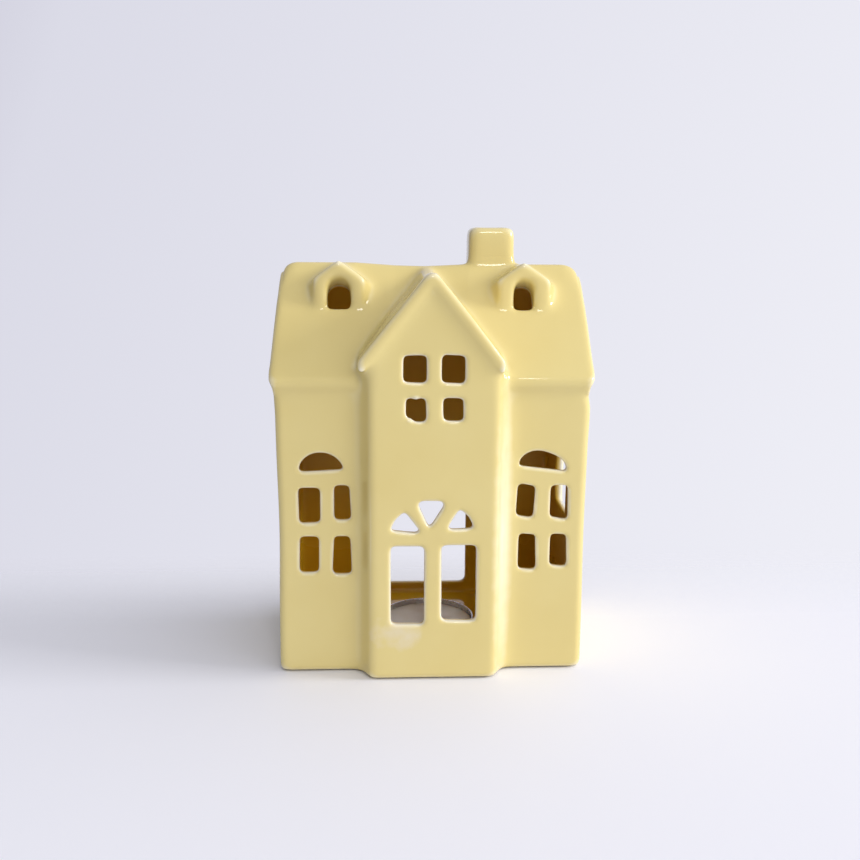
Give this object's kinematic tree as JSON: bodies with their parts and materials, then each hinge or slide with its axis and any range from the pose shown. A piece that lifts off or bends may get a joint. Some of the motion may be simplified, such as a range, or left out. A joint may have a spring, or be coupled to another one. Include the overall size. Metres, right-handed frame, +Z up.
{
  "type": "tealight house",
  "caption": "Glazed ceramic tealight house with gabled bay, dormers, chimney and cut-out windows; the tealight stands inside and comes out through an arched rear opening.",
  "frame": {"origin": "middle of the whole object's outline, on the plane it stands on", "axes": "+Z up, +X to the viewer's right when facing the door, +Y from the door towards the rear opening"},
  "size_m": [0.1234, 0.0896, 0.1732],
  "materials": {
    "yellow_glaze": "glossy glaze",
    "cup_aluminium": "bright rolled sheet",
    "candle_wax": "satin",
    "clip_steel": "bright stamped sheet",
    "wick_cotton": "waxed cotton"
  },
  "bodies": {
    "house": {"house_shell": "yellow_glaze"},
    "tealight": {"tealight_cup": "cup_aluminium", "tealight_wax": "candle_wax", "wick_clip": "clip_steel", "candle_wick": "wick_cotton"}
  },
  "joints": [
    {"name": "tealight_out", "type": "slide", "parent": "house", "child": "tealight", "axis": [0, 0.9848, 0.1736], "range_m": [0, 0.09]}
  ]
}
